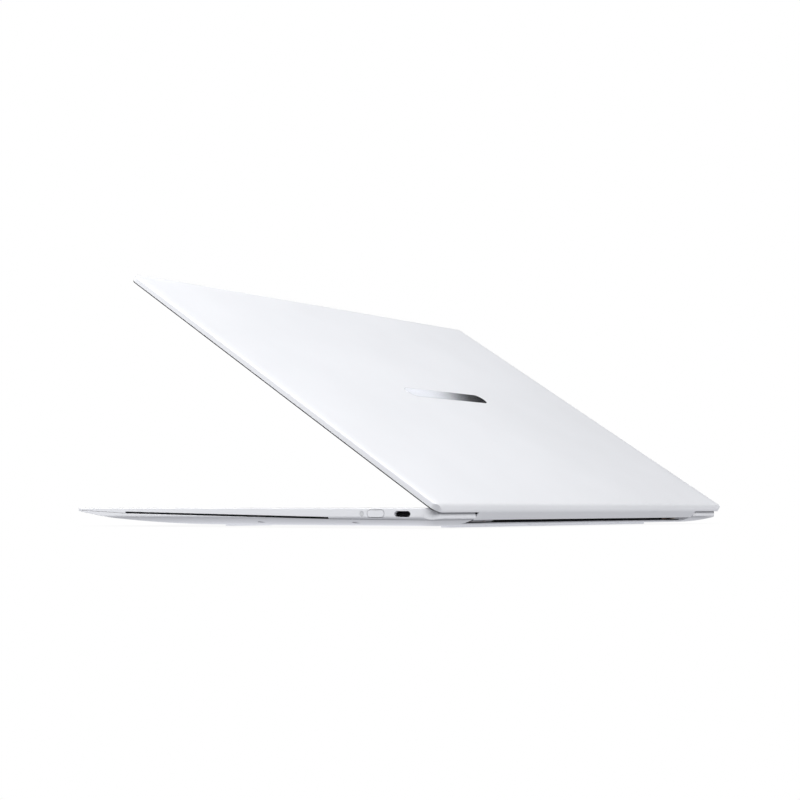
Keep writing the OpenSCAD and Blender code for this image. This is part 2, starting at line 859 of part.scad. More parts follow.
// Fixed side: a plate under the deck and a friction barrel round the pin.
module hinge_bracket_right() {
    color(silver) deck_frame() difference() {
        union() {
            box([88, 87, -2.4], [110, 100.2, -deck_t - 0.1]);
            box([barrel_x[0], 100, -2.8], [barrel_x[1], hinge_y, -deck_t - 0.1]);
            turned(barrel_x[0], barrel_x[1], hinge_barrel_r);
        }
        turned(barrel_x[0] - 1, barrel_x[1] + 1, pin_r + pin_play);
        for (p = hinge_screw_places) translate([p[0], p[1], -4]) cylinder(4, 0.8, 0.8);
    }
}

module hinge_bracket_left() {
    mirror([1, 0, 0]) hinge_bracket_right();
}

module hinge_screw() {
    difference() {
        union() {
            cylinder(0.45, 1.5, 1.5);
            cylinder(1.75, 0.75, 0.75);
        }
        translate([0, 0, -1]) cylinder(1.25, 0.5, 0.5, $fn = 6);
    }
}

module hinge_screws() {
    color(silver) deck_frame() both_sides()
        for (p = hinge_screw_places) translate([p[0], p[1], -2.9]) hinge_screw();
}

module hinge_washers() {
    color("goldenrod") deck_frame() both_sides() for (x = washer_x) difference() {
        turned(x, x + washer_t, hinge_barrel_r - 0.15);
        turned(x - 1, x + washer_t + 1, pin_r + pin_play);
    }
}

module hinge_pins() {
    color(silver) lid_frame() both_sides() {
        turned(pin_x[0], pin_x[1], pin_r);
        turned(pin_head_x[0], pin_head_x[1], hinge_barrel_r - 0.35);
    }
}

// Moving side: a hub fixed on the pin and a strap that goes up into the lid.
module hinge_arm_right() {
    color(silver) lid_frame() difference() {
        union() {
            turned(arm_x[0], arm_x[1], hinge_barrel_r);
            box([arm_x[0], hinge_y - 2.4, hinge_z], [arm_x[1], hinge_y + 1, lid_shell_z + 1.2]);
            box([94, 98.6, lid_shell_z + 0.15], [arm_x[1], hinge_y + 1, lid_shell_z + 1.2]);
        }
        turned(arm_x[0] - 1, arm_x[1] + 1, pin_r);
    }
}

module hinge_arm_left() {
    mirror([1, 0, 0]) hinge_arm_right();
}

// ---------- lid ----------

module lid_outline(inset) {
    translate([0, (lid_front_y + lid_rear_y) / 2])
        rounded_rect([base_w - 2 * inset, lid_l - 2 * inset], lid_r - inset);
}

// Edge of the lid's face: a small round that runs into a wide shallow crown.
function lid_edge(edge, inward, round_r, inset) =
    let (
        big_r = arc_radius(lid_crown_w, lid_drop),
        big = [lid_crown_w, lid_top_z - big_r],
        reach = big_r - round_r,
        across = lid_crown_w - round_r,
        small = [round_r, big[1] + sqrt(reach * reach - across * across)],
        turn = 180 - acos(across / reach),
        points = concat(
            arc(small, round_r - inset, 180, turn, 8),
            arc(big, big_r - inset, turn, 90, 5)
        )
    )
    [for (p = points) [edge + inward * p[0], p[1]]];

function backwards(points) = [for (i = [len(points) - 1:-1:0]) points[i]];

module lid_across(inset, low) {
    polygon(concat(
        [[-half_w, low]],
        lid_edge(-half_w, 1, lid_edge_r, inset),
        backwards(lid_edge(half_w, -1, lid_edge_r, inset)),
        [[half_w, low]]
    ));
}

module lid_along(inset, low) {
    polygon(concat(
        [[lid_front_y, low]],
        lid_edge(lid_front_y, 1, lid_edge_r, inset),
        backwards(lid_edge(lid_rear_y, -1, lid_rear_r, inset)),
        [[lid_rear_y, low]]
    ));
}

module lid_block(inset, low) {
    intersection() {
        translate([0, 0, low]) linear_extrude(lid_t + 1) lid_outline(inset == 0 ? 0 : lid_wall);
        along_y(lid_front_y - 1, lid_rear_y + 1) lid_across(inset, low - 1);
        along_x(-half_w - 1, half_w + 1) lid_along(inset, low - 1);
    }
}

// The lid's rear wall runs on down behind the hinge axis as a thin lip.
module lid_lip() {
    along_x(-lip_x, lip_x) polygon(concat(
        [[lid_rear_y, lid_shell_z + eps]],
        arc(lip_tip, lip_t / 2, 0, -180, 8),
        [[lid_rear_y - lip_t, lid_shell_z + eps]]
    ));
}

module lid_cover() {
    color(white) lid_frame() difference() {
        union() {
            lid_block(0, lid_shell_z);
            lid_lip();
        }
        lid_block(lid_skin, lid_shell_z - 0.5);
        translate([0, badge_y, lid_top_z - badge_sink])
            linear_extrude(1) rounded_rect([badge_w + 0.1, badge_h + 0.1], badge_h / 2);
    }
}

module lid_badge() {
    color(silver) lid_frame()
        translate([0, badge_y, lid_top_z - badge_sink]) linear_extrude(badge_sink + 0.05)
        rounded_rect([badge_w, badge_h], badge_h / 2 - 0.05);
}

// Plan of the screen and its seal, which stop short of the lip at the rear.
module screen_outline(inset) {
    translate([0, (lid_front_y + screen_rear_y) / 2])
        rounded_rect([base_w - 2 * inset, screen_rear_y - lid_front_y - 2 * inset], lid_r - inset);
}

module hinge_gap() {
    both_sides() box([108.5, hinge_y - 3.6, -1], [118.4, lid_rear_y + 1, lid_shell_z + 1]);
}

// Black frame that seals the screen to the lid and cushions it on the deck.
module screen_gasket() {
    color(black) lid_frame() difference() {
        translate([0, 0, lid_plane]) linear_extrude(lid_shell_z - lid_plane) difference() {
            screen_outline(0.1);
            screen_outline(1.3);
        }
        hinge_gap();
    }
}

module screen_glass() {
    color(black) lid_frame() difference() {
        translate([0, 0, lid_plane]) linear_extrude(lid_shell_z - lid_plane - 0.02) screen_outline(1.35);
        hinge_gap();
    }
}

module display_panel() {
    color("dimgray") lid_frame() box([-150, -105.8, lid_shell_z + 0.05], [150, 97, lid_shell_z + 1.4]);
}

// Small parts in the lid's front edge, between the panel and the rim.
module bezel_part(x0, x1) {
    box([x0, bezel_part_y[0], lid_shell_z + 0.1], [x1, bezel_part_y[1], lid_shell_z + 1.2]);
}

module webcam_module() {
    color(black) lid_frame() bezel_part(-24, 24);
}

module lid_magnets() {
    color(silver) lid_frame() both_sides() bezel_part(60, 80);
}

top_case();
bottom_cover();
bottom_screws();
rubber_feet();
vent_grille();
side_grilles();
status_led();
power_button();
power_switch();
usb_port_shells();
usb_port_tongues();
io_boards();
touchpad_glass();
touchpad_module();
keyboard_plate();
keyboard_backlight();
function_keys();
number_keys();
upper_letter_keys();
home_letter_keys();
lower_letter_keys();
modifier_keys();
arrow_keys();
space_bar();
enter_key();
backspace_key();
mainboard();
processor();
memory_chips();
cold_plate();
heat_pipes();
fin_stacks();
fan_housing_left();
fan_housing_right();
fan_rotor_left();
fan_rotor_right();
ssd_module();
wifi_module();
ribbon_cables();
battery_cells();
battery_frame();
battery_board();
speaker_left();
speaker_right();
hinge_bracket_left();
hinge_bracket_right();
hinge_screws();
hinge_washers();
hinge_pins();
hinge_arm_left();
hinge_arm_right();
lid_cover();
lid_badge();
screen_gasket();
screen_glass();
display_panel();
webcam_module();
lid_magnets();
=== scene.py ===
"""Thin white laptop computer: materials, keycaps, light and camera round its CAD frame."""

import json
import math

import bmesh
import bpy
from mathutils import Matrix, Vector


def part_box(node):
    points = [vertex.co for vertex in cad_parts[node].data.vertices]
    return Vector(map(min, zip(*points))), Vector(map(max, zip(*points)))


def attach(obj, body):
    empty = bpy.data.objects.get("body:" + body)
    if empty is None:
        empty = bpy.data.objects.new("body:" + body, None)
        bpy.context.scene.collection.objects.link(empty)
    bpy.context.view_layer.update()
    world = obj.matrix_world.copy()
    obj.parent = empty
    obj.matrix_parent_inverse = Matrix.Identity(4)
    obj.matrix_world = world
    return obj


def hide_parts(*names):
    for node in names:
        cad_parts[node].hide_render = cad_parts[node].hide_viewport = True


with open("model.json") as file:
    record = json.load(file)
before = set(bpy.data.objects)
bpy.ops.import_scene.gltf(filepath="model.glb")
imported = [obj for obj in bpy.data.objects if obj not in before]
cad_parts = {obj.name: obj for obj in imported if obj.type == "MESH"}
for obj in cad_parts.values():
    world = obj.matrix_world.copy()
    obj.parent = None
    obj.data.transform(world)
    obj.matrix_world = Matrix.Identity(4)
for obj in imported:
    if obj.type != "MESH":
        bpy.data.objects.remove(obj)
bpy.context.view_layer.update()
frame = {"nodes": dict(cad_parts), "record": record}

MM = 0.001
NODES = frame["nodes"]
RECORD = frame["record"]
BEHAVIOUR = RECORD["behaviour"]
SLOT_OF = {part["node"]: part["material_slot"] for part in RECORD["subparts"]}
JOINTS = {joint["name"]: joint for joint in BEHAVIOUR["joints"]}
BODY_OF = {node: body for body, nodes in BEHAVIOUR["bodies"].items() for node in nodes}


def hinge_turn(joint, degrees):
    """The turn of a hinge by an angle, as a matrix in the row frame."""
    pivot = Matrix.Translation(Vector(joint["pos_m"]))
    spin = Matrix.Rotation(math.radians(degrees), 4, Vector(joint["axis"]))
    return pivot @ spin @ pivot.inverted()


# The lid is drawn partly open; this turn lays its points back onto the base.
LID = JOINTS["lid_hinge"]
REST_TO_SHUT = hinge_turn(LID, LID["range_deg"][0])


def corners(points):
    """The lowest and the highest corner of a cloud of points."""
    low = Vector(min(p[i] for p in points) for i in range(3))
    high = Vector(max(p[i] for p in points) for i in range(3))
    return low, high


# ---------- node building ----------


class Tree:
    """A node tree, emptied and then built one call at a time."""

    def __init__(self, tree):
        self.tree = tree
        tree.nodes.clear()

    def put(self, target, value):
        """Sets an input from a number, a vector, a colour or another node's output."""
        if isinstance(value, bpy.types.NodeSocket):
            self.tree.links.new(value, target)
        elif target.type == "RGBA" and len(value) == 3:
            target.default_value = (*value, 1.0)
        else:
            target.default_value = value

    def node(self, kind, inputs=None, **settings):
        """The outputs of a new node; inputs holds its input values by name or number."""
        made = self.tree.nodes.new(kind)
        for key, value in settings.items():
            setattr(made, key, value)
        for key, value in (inputs or {}).items():
            self.put(made.inputs[key], value)
        return made.outputs

    def math(self, operation, *values, clamp=False):
        inputs = dict(enumerate(values))
        return self.node("ShaderNodeMath", inputs, operation=operation, use_clamp=clamp)[0]

    def dot(self, a, b):
        return self.node("ShaderNodeVectorMath", {0: a, 1: b}, operation="DOT_PRODUCT")["Value"]

    def split(self, vector):
        """X, Y and Z of a vector."""
        return self.node("ShaderNodeSeparateXYZ", {0: vector})

    def spread(self, value, low, high, start=0.3, end=0.7):
        """Maps start..end of a value onto low..high."""
        limits = {"From Min": start, "From Max": end, "To Min": low, "To Max": high}
        return self.node("ShaderNodeMapRange", {"Value": value, **limits})["Result"]

    def mix(self, share, a, b):
        """A colour from a to b."""
        return self.node("ShaderNodeMix", {0: share, 6: a, 7: b}, data_type="RGBA")[2]


class Shader(Tree):
    """A Principled material, with helpers for procedural detail. Lengths are in metres."""

    def __init__(self, name):
        self.material = bpy.data.materials.new(name)
        self.material.use_nodes = True
        super().__init__(self.material.node_tree)
        self.bsdf = self.tree.nodes.new("ShaderNodeBsdfPrincipled")
        self.node("ShaderNodeOutputMaterial", {"Surface": self.bsdf.outputs[0]})
        self.place = self.node("ShaderNodeTexCoord")["Object"]

    def set(self, **inputs):
        for key, value in inputs.items():
            self.put(self.bsdf.inputs[key.replace("_", " ")], value)

    def noise(self, scale, detail=2.0, stretch=None, roughness=0.5):
        """Cloudy values round 0.5, with scale features to the metre."""
        place = self.place
        if stretch is not None:
            place = self.node("ShaderNodeMapping", {"Vector": place, "Scale": stretch})["Vector"]
        inputs = {"Vector": place, "Scale": scale, "Detail": detail, "Roughness": roughness}
        return self.node("ShaderNodeTexNoise", inputs)["Fac"]

    def cells(self, scale):
        return self.node("ShaderNodeTexVoronoi", {"Vector": self.place, "Scale": scale})["Distance"]

    def rounded(self, radius):
        """Surface normal with every edge eased over a radius."""
        return self.node("ShaderNodeBevel", {"Radius": radius}, samples=6)["Normal"]

    def edges(self, radius):
        """1 on the edges and 0 on open faces."""
        facing = self.node("ShaderNodeNewGeometry")["Normal"]
        return self.spread(self.dot(self.rounded(radius), facing), 1.0, 0.0, 0.86, 0.995)

    def bump(self, height, strength, depth, ease):
        """Relief on the surface, over edges that are eased by a radius."""
        inputs = {"Height": height, "Strength": strength, "Distance": depth, "Normal": self.rounded(ease)}
        self.set(Normal=self.node("ShaderNodeBump", inputs)["Normal"])

    def coordinates(self, turn=None):
        """X, Y and Z of the surface point; turn is a matrix to look at it in another frame."""
        place = self.place
        if turn is not None:
            inputs = {"Vector": place, "Location": turn.to_translation(), "Rotation": turn.to_euler()}
            place = self.node("ShaderNodeMapping", inputs)["Vector"]
        return self.split(place)


# ---------- materials ----------

# Features to the metre of the patterns that more than one material shares.
DRIFT = 14
CLOUDS = 35
SMUDGES = 40
SPECKS = 900

WHITE = (0.86, 0.868, 0.895)
# Painted highlight: the pale metal that the edges of brushed parts are drawn towards.
HIGHLIGHT_METAL = (0.85, 0.85, 0.86)
# Painted shade: the flat, upward-facing deck is drawn this much darker than the rest of the coat.
DECK_PAINTED_SHADE = 0.86
DECK_LEVEL = 0.05 * MM
FACING_UP = 0.999


def toned(colour, factor, lift=0.0):
    """A colour made paler or darker, up to white."""
    return tuple(min(1.0, c * factor + lift) for c in colour)


def deck_shade_mask(shader):
    """1 on the flat of the deck, where shade is painted, and 0 elsewhere."""
    deck_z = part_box("top_case")[1][2]
    away = shader.math("ABSOLUTE", shader.math("SUBTRACT", shader.coordinates()[2], deck_z))
    upward = shader.split(shader.node("ShaderNodeNewGeometry")["True Normal"])[2]
    level = shader.math("LESS_THAN", away, DECK_LEVEL)
    return shader.math("MULTIPLY", level, shader.math("GREATER_THAN", upward, FACING_UP))


def satin_coat(name, colour, rough, grain_mm=0.16, grain_depth_mm=0.006, ease_mm=0.22, coat=0.0):
    """Sprayed and baked satin coat: soft cloudiness, fine grain, edges worn a little smoother and painted
    shade on the flat of the deck.
    """
    shader = Shader(name)
    ease = ease_mm * MM
    drift = 0.018
    worn_share, worn_tone, worn_polish = 0.35, 0.94, 0.06
    cloud = shader.spread(shader.noise(DRIFT, 3), 0, 1)
    worn = shader.edges(ease)
    base = shader.mix(cloud, toned(colour, 1 - drift), toned(colour, 1 + drift))
    base = shader.mix(shader.math("MULTIPLY", worn, worn_share), base, toned(colour, worn_tone))
    # Painted shade: the upward-facing flat of the deck is drawn darker.
    base = shader.mix(deck_shade_mask(shader), base, toned(colour, DECK_PAINTED_SHADE))
    smudge = shader.spread(shader.noise(SMUDGES, 4, roughness=0.6), -0.03, 0.04)
    speck = shader.spread(shader.noise(SPECKS), -0.02, 0.02)
    roughness = shader.math("ADD", shader.math("ADD", smudge, rough), speck)
    polish = shader.math("MULTIPLY", worn, worn_polish)
    roughness = shader.math("SUBTRACT", roughness, polish, clamp=True)
    shader.set(Base_Color=base, Roughness=roughness, IOR=1.48, Coat_Weight=coat, Coat_Roughness=0.3)
    shader.bump(shader.noise(1 / (grain_mm * MM)), 0.15, grain_depth_mm * MM, ease)
    return shader.material


def brushed(name, colour, rough):
    """Drawn or rolled metal with fine lines along one way and a painted highlight on its edges."""
    shader = Shader(name)
    ease = 0.12 * MM
    along_x = (1, 40, 40)
    dull_tone, highlight_share = 0.88, 0.4
    lines = shader.noise(SPECKS, 3, along_x)
    tone = shader.spread(shader.noise(60, 3), 0, 1)
    base = shader.mix(tone, toned(colour, dull_tone), colour)
    # Painted highlight: the edges are drawn lighter, towards a pale metal.
    base = shader.mix(shader.math("MULTIPLY", shader.edges(ease), highlight_share), base, HIGHLIGHT_METAL)
    roughness = shader.spread(lines, rough - 0.08, rough + 0.1)
    shader.set(Base_Color=base, Metallic=1.0, Roughness=roughness)
    shader.bump(lines, 0.12, 0.006 * MM, ease)
    return shader.material


def moulded(name, colour, rough, texture_mm, depth_mm, ease_mm, gloss=0.5):
    """Spark-textured plastic or rubber, with a painted highlight on its edges."""
    shader = Shader(name)
    ease = ease_mm * MM
    edge_highlight_share = 0.3
    pits = shader.noise(1 / (texture_mm * MM), 3, roughness=0.6)
    cloud = shader.spread(shader.noise(CLOUDS, 3), 0, 1)
    base = shader.mix(cloud, colour, toned(colour, 1.05, 0.003))
    # Painted highlight: the edges are drawn lighter than the faces.
    edge_highlight = shader.math("MULTIPLY", shader.edges(ease), edge_highlight_share)
    base = shader.mix(edge_highlight, base, toned(colour, 1.6, 0.012))
    roughness = shader.spread(pits, rough - 0.07, rough + 0.07)
    shader.set(Base_Color=base, Roughness=roughness, Specular_IOR_Level=gloss)
    shader.bump(pits, 0.3, depth_mm * MM, ease)
    return shader.material


def circuit_board(name):
    """Solder mask over copper tracks, with pads showing here and there."""
    shader = Shader(name)
    gold = (0.75, 0.6, 0.32)
    layout = {
        "Vector": shader.place,
        "Scale": 260,
        "Mortar Size": 0.018,
        "Mortar Smooth": 0.3,
        "Brick Width": 0.9,
        "Row Height": 0.22,
    }
    staggered = {"offset": 0.35, "squash": 0.6, "squash_frequency": 3}
    tracks = shader.node("ShaderNodeTexBrick", layout, **staggered)["Fac"]
    tone = shader.spread(shader.noise(30), 0, 1)
    mask = shader.mix(tone, (0.006, 0.03, 0.024), (0.01, 0.045, 0.034))
    raised = shader.math("MULTIPLY", tracks, 0.7)
    base = shader.mix(raised, mask, (0.02, 0.085, 0.06))
    pad = shader.spread(shader.cells(420), 1.0, 0.0, 0.1, 0.14)
    base = shader.mix(pad, base, gold)
    roughness = shader.spread(shader.noise(500), 0.28, 0.42)
    shader.set(Base_Color=base, Metallic=pad, Roughness=roughness)
    shader.bump(raised, 0.25, 0.03 * MM, 0.1 * MM)
    return shader.material


def pouch_cells(name):
    """Black film over battery pouches, wrinkled a little."""
    shader = Shader(name)
    across_cells = (1, 2.4, 1)
    folds = shader.noise(55, 4, across_cells, 0.65)
    base = shader.mix(shader.spread(folds, 0, 1), (0.012, 0.012, 0.014), (0.03, 0.03, 0.033))
    shader.set(Base_Color=base, Roughness=shader.spread(folds, 0.26, 0.42))
    shader.bump(folds, 0.35, 0.25 * MM, 0.6 * MM)
    return shader.material


def polished_badge(name):
    """Mirror-bright metal, cut back to a very fine polish."""
    shader = Shader(name)
    across_badge = (1, 6, 6)
    haze = shader.noise(3000, 2, across_badge)
    tone = shader.spread(shader.noise(80, 3), 0, 1)
    base = shader.mix(tone, (0.62, 0.63, 0.66), (0.7, 0.71, 0.74))
    shader.set(Base_Color=base, Metallic=1.0, Roughness=shader.spread(haze, 0.035, 0.08))
    shader.bump(haze, 0.05, 0.002 * MM, 0.06 * MM)
    return shader.material


def frosted_lens(name):
    """Milky light pipe with a darker rim."""
    shader = Shader(name)
    rim = shader.edges(0.2 * MM)
    milk = shader.spread(shader.noise(700, 3), 0, 1)
    base = shader.mix(milk, (0.76, 0.77, 0.79), (0.84, 0.85, 0.87))
    base = shader.mix(rim, base, (0.3, 0.31, 0.34))
    shader.set(Base_Color=base, Roughness=0.3, Transmission_Weight=0.15, IOR=1.5)
    shader.bump(milk, 0.15, 0.02 * MM, 0.15 * MM)
    return shader.material


def screen_glass(name):
    """Black glass over a switched-off panel, with a printed border and a camera window."""
    border = 5.5 * MM
    chin = 13 * MM
    window_r = 1.5 * MM
    iris_r = 0.7 * MM
    blur = 0.1 * MM
    low, high = corners([REST_TO_SHUT @ v.co for v in NODES["screen_glass"].data.vertices])
    shader = Shader(name)
    x, y, _ = shader.coordinates(REST_TO_SHUT)

    left = shader.math("GREATER_THAN", x, low.x + border)
    right = shader.math("LESS_THAN", x, high.x - border)
    top = shader.math("GREATER_THAN", y, low.y + border)
    bottom = shader.math("LESS_THAN", y, high.y - chin)
    across = shader.math("MULTIPLY", left, right)
    shown = shader.math("MULTIPLY", across, shader.math("MULTIPLY", top, bottom))
    drift = shader.spread(shader.noise(9), 0, 1)
    panel = shader.mix(drift, (0.0075, 0.0085, 0.011), (0.0105, 0.0115, 0.0145))
    base = shader.mix(shown, (0.0035, 0.0035, 0.004), panel)

    from_lens_x = shader.math("POWER", x, 2.0)
    from_lens_y = shader.math("POWER", shader.math("SUBTRACT", y, low.y + 0.45 * border), 2.0)
    reach = shader.math("SQRT", shader.math("ADD", from_lens_x, from_lens_y))
    window = shader.spread(reach, 1.0, 0.0, window_r, window_r + blur)
    iris = shader.spread(reach, 1.0, 0.0, iris_r, iris_r + blur)
    base = shader.mix(window, base, (0.02, 0.02, 0.024))
    base = shader.mix(iris, base, (0.012, 0.02, 0.055))

    smear = shader.spread(shader.noise(22, 4, roughness=0.6), 0.035, 0.075)
    shader.set(Base_Color=base, Roughness=smear, IOR=1.52, Coat_Weight=0.3, Coat_Roughness=0.03)
    shader.bump(shader.noise(160), 0.04, 0.01 * MM, 0.2 * MM)
    return shader.material


# A moulded look has a colour, a roughness and, in mm, its texture's size and depth and the
# radius of its edges.
LOOKS = {
    "white_shell": satin_coat("satin_white_coat", WHITE, 0.42, coat=0.1),
    "white_keys": moulded("white_keycap_plastic", (0.76, 0.77, 0.79), 0.55, 0.22, 0.006, 0.1),
    "white_pad": satin_coat("etched_white_glass", (0.76, 0.768, 0.79), 0.34, 0.08, 0.004, 0.15, 0.2),
    "pale_rubber": moulded("white_rubber", (0.8, 0.805, 0.82), 0.8, 0.35, 0.02, 0.3),
    "black_seal": moulded("black_seal_rubber", (0.02, 0.02, 0.023), 0.62, 0.2, 0.01, 0.08),
    "black_plastic": moulded(
        "black_moulded_plastic", (0.006, 0.006, 0.007), 0.6, 0.25, 0.015, 0.1, gloss=0.2
    ),
    "screen_black": screen_glass("black_screen_glass"),
    "panel_grey": brushed("panel_back_steel", (0.4, 0.4, 0.42), 0.45),
    "badge_metal": polished_badge("polished_badge_metal"),
    "port_steel": brushed("formed_steel", (0.5, 0.5, 0.52), 0.32),
    "hinge_steel": brushed("hardened_steel", (0.32, 0.32, 0.34), 0.38),
    "bronze": brushed("friction_bronze", (0.6, 0.42, 0.2), 0.36),
    "plate_metal": brushed("rolled_aluminium", (0.72, 0.73, 0.75), 0.4),
    "copper": brushed("fine_copper", (0.78, 0.42, 0.27), 0.3),
    "board": circuit_board("circuit_board"),
    "chip": moulded("chip_package", (0.018, 0.018, 0.02), 0.48, 0.12, 0.008, 0.1),
    "light_guide": moulded("light_guide_film", (0.8, 0.81, 0.83), 0.4, 0.5, 0.01, 0.1),
    "led_lens": frosted_lens("frosted_lens"),
    "battery": pouch_cells("battery_film"),
    "magnet": brushed("nickel_plate", (0.55, 0.54, 0.52), 0.2),
}


# ---------- the CAD pieces ----------

SMOOTH_UNDER = math.radians(24)
WELD = 0.0015 * MM


def even_normals(piece):
    """Shades the flats flat and the rounds round."""
    piece.modifiers.new("normals", "WEIGHTED_NORMAL").weight = 50


def dress(piece, look):
    """Puts a material on a CAD piece and smooths its rounds."""
    if not piece.material_slots:
        piece.data.materials.append(look)
    for place in piece.material_slots:
        place.material = look
    piece.modifiers.new("weld", "WELD").merge_threshold = WELD
    piece.modifiers.new("split", "EDGE_SPLIT").split_angle = SMOOTH_UNDER
    even_normals(piece)
    piece.data.polygons.foreach_set("use_smooth", [True] * len(piece.data.polygons))


for node, piece in NODES.items():
    dress(piece, LOOKS[SLOT_OF[node]])


# ---------- keycaps ----------

KEY_SLOT = "white_keys"
# How a keycap's sides turn over into its dished top: inset and drop from its highest edge, in
# mm. The first ring stands on the keycap's lowest edge.
KEY_PROFILE = (
    (0, None), (0, 0.42), (0.05, 0.2), (0.18, 0.06), (0.42, 0.0), (0.9, 0.02), (1.8, 0.07), (3.0, 0.1),
)
KEY_INSET_MOST = 0.72
KEY_CORNER = 1.2 * MM
KEY_CORNER_LEAST = 0.25 * MM
KEY_CORNER_TAPER = 0.6
CORNER_STEPS = 6


def linked(start):
    """All the vertices that edges join to one."""
    seen, stack = {start}, [start]
    while stack:
        vert = stack.pop()
        for edge in vert.link_edges:
            other = edge.other_vert(vert)
            if other not in seen:
                seen.add(other)
                stack.append(other)
    return seen


def islands(node):
    """The corners of each separate solid in a CAD node, from left to right."""
    mesh = bmesh.new()
    mesh.from_mesh(NODES[node].data)
    bmesh.ops.remove_doubles(mesh, verts=mesh.verts, dist=WELD)
    seen, found = set(), []
    for vert in mesh.verts:
        if vert not in seen:
            group = linked(vert)
            seen |= group
            found.append(corners([v.co for v in group]))
    mesh.free()
    return sorted(found, key=lambda pair: (round(pair[0].x, 4), -pair[0].y))


def rounded_loop(centre, half, radius):
    """Points round a rectangle with round corners."""
    points = []
    for quarter, (side_x, side_y) in enumerate(((1, 1), (-1, 1), (-1, -1), (1, -1))):
        for step in range(CORNER_STEPS + 1):
            angle = math.pi / 2 * (quarter + step / CORNER_STEPS)
            points.append((
                centre.x + side_x * (half.x - radius) + radius * math.cos(angle),
                centre.y + side_y * (half.y - radius) + radius * math.sin(angle),
            ))
    return points


def add_keycap(mesh, low, high):
    """A dished keycap with rolled edges that fills a box."""
    centre = (low + high) / 2
    half = (high - low) / 2
    rings = []
    for inset, drop in KEY_PROFILE:
        inset = min(inset * MM, KEY_INSET_MOST * min(half.x, half.y))
        z = low.z if drop is None else high.z - drop * MM
        radius = max(KEY_CORNER - KEY_CORNER_TAPER * inset, KEY_CORNER_LEAST)
        outline = rounded_loop(centre, Vector((half.x - inset, half.y - inset)), radius)
        rings.append([mesh.verts.new((x, y, z)) for x, y in outline])
    for lower, upper in zip(rings, rings[1:]):
        for i in range(len(lower)):
            j = (i + 1) % len(lower)
            mesh.faces.new((lower[i], lower[j], upper[j], upper[i]))
    mesh.faces.new(list(reversed(rings[0])))
    mesh.faces.new(rings[-1])


def keycaps(node):
    """Dished caps in place of a CAD node's plain ones, on the same body."""
    caps = bmesh.new()
    for low, high in islands(node):
        add_keycap(caps, low, high)
    bmesh.ops.recalc_face_normals(caps, faces=caps.faces)
    for face in caps.faces:
        face.smooth = True
    name = node + "_caps"
    data = bpy.data.meshes.new(name)
    caps.to_mesh(data)
    caps.free()
    data.materials.append(LOOKS[KEY_SLOT])
    piece = bpy.data.objects.new(name, data)
    bpy.context.scene.collection.objects.link(piece)
    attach(piece, BODY_OF[node])
    even_normals(piece)
    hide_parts(node)


for node, slot in SLOT_OF.items():
    if slot == KEY_SLOT:
        keycaps(node)


# ---------- stage, light and camera ----------

PURE_WHITE = (1.0, 1.0, 1.0)

# Light that reaches the laptop from round about, as a share of the white background.
SKY_LEVEL = 0.2
SKY_LEAST = 0.02
SKY_TILT = (0.05, -0.03, 0.1)
SKY_COLOUR = (0.97, 0.985, 1.02)
# The studio is dark behind the camera.
DARK_WAY = (0.83, 0.55, 0.05)
DARK_DEPTH = 0.15
DARK_FOCUS = 3.0
# A black card stands across from the camera with a small white one above it, both seen only
# in polished surfaces, so that such a surface runs from white to black. A card's width is the
# cosine of the angle from its middle to its rim.
CARD_TOP = (0.452, 0.463)
BLACK_CARD_WAY = (-0.95, -0.31, 0.0)
BLACK_CARD_WIDTH = 0.55
BLACK_CARD_LEVEL = 0.01
WHITE_CARD_WAY = (-0.829, -0.297, 0.474)
WHITE_CARD_WIDTH = 0.9983
WHITE_CARD_LEVEL = 1.0

FLOOR_HALF = 30
FLOOR_DROP = -0.05 * MM
# The light from below is strongest right under the laptop and fades away from its edges.
GLOW_UNDER = 0.9
GLOW_ROUND = 0.48
GLOW_FADE = 24 * MM
GLOW_COLOUR = (0.985, 0.995, 1.045)
# Painted contact shadow: the floor the camera sees is drawn darker near anything standing on it.
PAINTED_SHADOW_REACH = 12 * MM
PAINTED_SHADOW_DEPTH = 0.06

LIGHTS_AIM = Vector((0, 0, 0.03))

CAMERA_AT = (0.7374, 0.4923, 0.0095)
CAMERA_TURN = math.radians(55.55)
CAMERA_TILT = math.radians(3.873)
LENS = 71.39


def card(tree, shown, way, centre, width):
    """Where a card stands: shown times its round patch of sky, for polished surfaces only."""
    patch = tree.math("GREATER_THAN", tree.dot(way, Vector(centre).normalized()), width)
    polished = tree.node("ShaderNodeLightPath")["Is Glossy Ray"]
    return tree.math("MULTIPLY", tree.math("MULTIPLY", shown, patch), polished)


